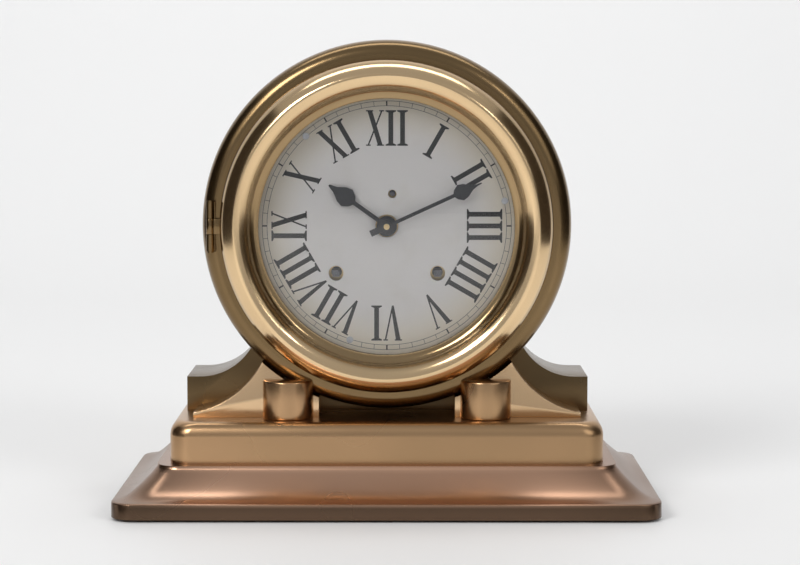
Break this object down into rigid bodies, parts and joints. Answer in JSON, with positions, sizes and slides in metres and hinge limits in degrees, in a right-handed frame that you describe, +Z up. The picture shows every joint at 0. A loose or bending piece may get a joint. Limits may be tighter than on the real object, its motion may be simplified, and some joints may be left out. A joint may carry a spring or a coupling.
{
  "type": "ship's bell mantel clock",
  "caption": "Round brass ship's bell mantel clock with a glazed hinged bezel, roman dial and spade hands, cradled on a stepped metal base.",
  "frame": {"origin": "middle of the underside of the base", "axes": "+X to the right seen from the front, -Y out of the dial, +Z up"},
  "size_m": [0.244, 0.14, 0.212],
  "materials": {
    "case_brass": "polished",
    "base_brass": "polished",
    "dial_silver": "silvered and lacquered",
    "hand_black": "gloss black",
    "clear_glass": "clear",
    "green_baize": "felted",
    "movement_brass": "satin",
    "plain_steel": "bright",
    "bell_metal": "turned"
  },
  "bodies": {
    "clock": {"felt_pad": "green_baize", "plinth": "base_brass", "upper_step": "base_brass", "cradle": "base_brass", "base_bolts": "plain_steel", "case_bolts": "plain_steel", "case_drum": "case_brass", "back_cover": "case_brass", "cover_screws": "plain_steel", "hinge_leaf": "case_brass", "hinge_pin": "plain_steel", "front_plate": "movement_brass", "back_plate": "movement_brass", "pillars": "movement_brass", "plate_screws": "plain_steel", "ledge_screws": "plain_steel", "dial": "dial_silver", "dial_feet": "movement_brass", "dial_screws": "plain_steel", "click_studs": "plain_steel", "bell": "bell_metal", "bell_post": "plain_steel", "bell_screw": "plain_steel"},
    "glazed_bezel": {"bezel": "case_brass", "glass": "clear_glass", "glass_ring": "case_brass"},
    "minute_work": {"minute_hand": "hand_black", "cannon_pinion": "plain_steel", "centre_wheel": "movement_brass", "hand_nut": "hand_black"},
    "hour_work": {"hour_hand": "hand_black", "hour_wheel": "movement_brass"},
    "motion_wheel": {"minute_wheel": "movement_brass"},
    "second_arbor": {"second_wheel": "movement_brass"},
    "going_barrel": {"time_barrel": "movement_brass", "time_barrel_cover": "movement_brass"},
    "third_arbor": {"third_wheel": "movement_brass"},
    "fourth_arbor": {"fourth_wheel": "movement_brass"},
    "escape_arbor": {"escape_wheel": "movement_brass"},
    "lever": {"pallet_lever": "plain_steel"},
    "balance": {"balance_wheel": "movement_brass"},
    "going_winder": {"time_winding_arbor": "plain_steel"},
    "going_click": {"time_click": "plain_steel"},
    "striking_barrel": {"strike_barrel": "movement_brass", "strike_barrel_cover": "movement_brass"},
    "pin_arbor": {"pin_wheel": "movement_brass", "striking_pins": "plain_steel"},
    "fly_arbor": {"fly": "movement_brass"},
    "striking_winder": {"strike_winding_arbor": "plain_steel"},
    "striking_click": {"strike_click": "plain_steel"},
    "hammer_arm": {"hammer": "plain_steel"},
    "regulator": {"regulator_arbor": "plain_steel"}
  },
  "joints": [
    {"name": "bezel_hinge", "type": "hinge", "parent": "clock", "child": "glazed_bezel", "pos_m": [-0.0796, -0.0322, 0.128], "axis": [0, 0, -1], "range_deg": [0, 110]},
    {"name": "minute_turn", "type": "hinge", "parent": "clock", "child": "minute_work", "pos_m": [0, -0.01, 0.128], "axis": [0, 1, 0], "continuous": true},
    {"name": "hour_turn", "type": "hinge", "parent": "clock", "child": "hour_work", "pos_m": [0, -0.01, 0.128], "axis": [0, 1, 0], "continuous": true},
    {"name": "motion_turn", "type": "hinge", "parent": "clock", "child": "motion_wheel", "pos_m": [-0.01466, -0.01, 0.13334], "axis": [0, 1, 0], "continuous": true},
    {"name": "second_turn", "type": "hinge", "parent": "clock", "child": "second_arbor", "pos_m": [0.0203, -0.01, 0.13539], "axis": [0, 1, 0], "continuous": true},
    {"name": "going_barrel_turn", "type": "hinge", "parent": "clock", "child": "going_barrel", "pos_m": [0.02304, -0.01, 0.10652], "axis": [0, 1, 0], "continuous": true},
    {"name": "third_turn", "type": "hinge", "parent": "clock", "child": "third_arbor", "pos_m": [0, -0.01, 0.146], "axis": [0, 1, 0], "continuous": true},
    {"name": "fourth_turn", "type": "hinge", "parent": "clock", "child": "fourth_arbor", "pos_m": [0.01202, -0.01, 0.15802], "axis": [0, 1, 0], "continuous": true},
    {"name": "escape_turn", "type": "hinge", "parent": "clock", "child": "escape_arbor", "pos_m": [0.00392, -0.01, 0.17205], "axis": [0, 1, 0], "continuous": true},
    {"name": "lever_rock", "type": "hinge", "parent": "clock", "child": "lever", "pos_m": [-0.00465, -0.01, 0.1713], "axis": [0, 1, 0], "range_deg": [-4, 4]},
    {"name": "balance_swing", "type": "hinge", "parent": "clock", "child": "balance", "pos_m": [-0.01552, -0.01, 0.16623], "axis": [0, 1, 0], "range_deg": [-150, 150]},
    {"name": "going_winding", "type": "hinge", "parent": "clock", "child": "going_winder", "pos_m": [0.02304, -0.01, 0.10652], "axis": [0, 1, 0], "continuous": true},
    {"name": "going_click_lift", "type": "hinge", "parent": "clock", "child": "going_click", "pos_m": [0.02304, -0.01, 0.09302], "axis": [0, -1, 0], "range_deg": [0, 12]},
    {"name": "striking_barrel_turn", "type": "hinge", "parent": "clock", "child": "striking_barrel", "pos_m": [-0.02304, -0.01, 0.10652], "axis": [0, 1, 0], "continuous": true},
    {"name": "pin_turn", "type": "hinge", "parent": "clock", "child": "pin_arbor", "pos_m": [-0.0203, -0.01, 0.13539], "axis": [0, 1, 0], "continuous": true},
    {"name": "fly_turn", "type": "hinge", "parent": "clock", "child": "fly_arbor", "pos_m": [-0.03721, -0.01, 0.14154], "axis": [0, 1, 0], "continuous": true},
    {"name": "striking_winding", "type": "hinge", "parent": "clock", "child": "striking_winder", "pos_m": [-0.02304, -0.01, 0.10652], "axis": [0, 1, 0], "continuous": true},
    {"name": "striking_click_lift", "type": "hinge", "parent": "clock", "child": "striking_click", "pos_m": [-0.02304, -0.01, 0.09302], "axis": [0, -1, 0], "range_deg": [0, 12]},
    {"name": "hammer_lift", "type": "hinge", "parent": "clock", "child": "hammer_arm", "pos_m": [-0.042, -0.01, 0.126], "axis": [0, -1, 0], "range_deg": [0, 12]},
    {"name": "regulator_turn", "type": "hinge", "parent": "clock", "child": "regulator", "pos_m": [0.0025, -0.01, 0.1425], "axis": [0, 1, 0], "range_deg": [-90, 90]}
  ],
  "couplings": [
    {"joint": "hour_turn", "follows": "minute_turn", "ratio": 0.083333},
    {"joint": "motion_turn", "follows": "minute_turn", "ratio": -0.33333},
    {"joint": "second_turn", "follows": "minute_turn", "ratio": -0.2},
    {"joint": "going_barrel_turn", "follows": "minute_turn", "ratio": 0.041667},
    {"joint": "third_turn", "follows": "minute_turn", "ratio": -8},
    {"joint": "fourth_turn", "follows": "minute_turn", "ratio": 60},
    {"joint": "escape_turn", "follows": "minute_turn", "ratio": -480},
    {"joint": "pin_turn", "follows": "striking_barrel_turn", "ratio": -4.8},
    {"joint": "fly_turn", "follows": "striking_barrel_turn", "ratio": 24}
  ]
}
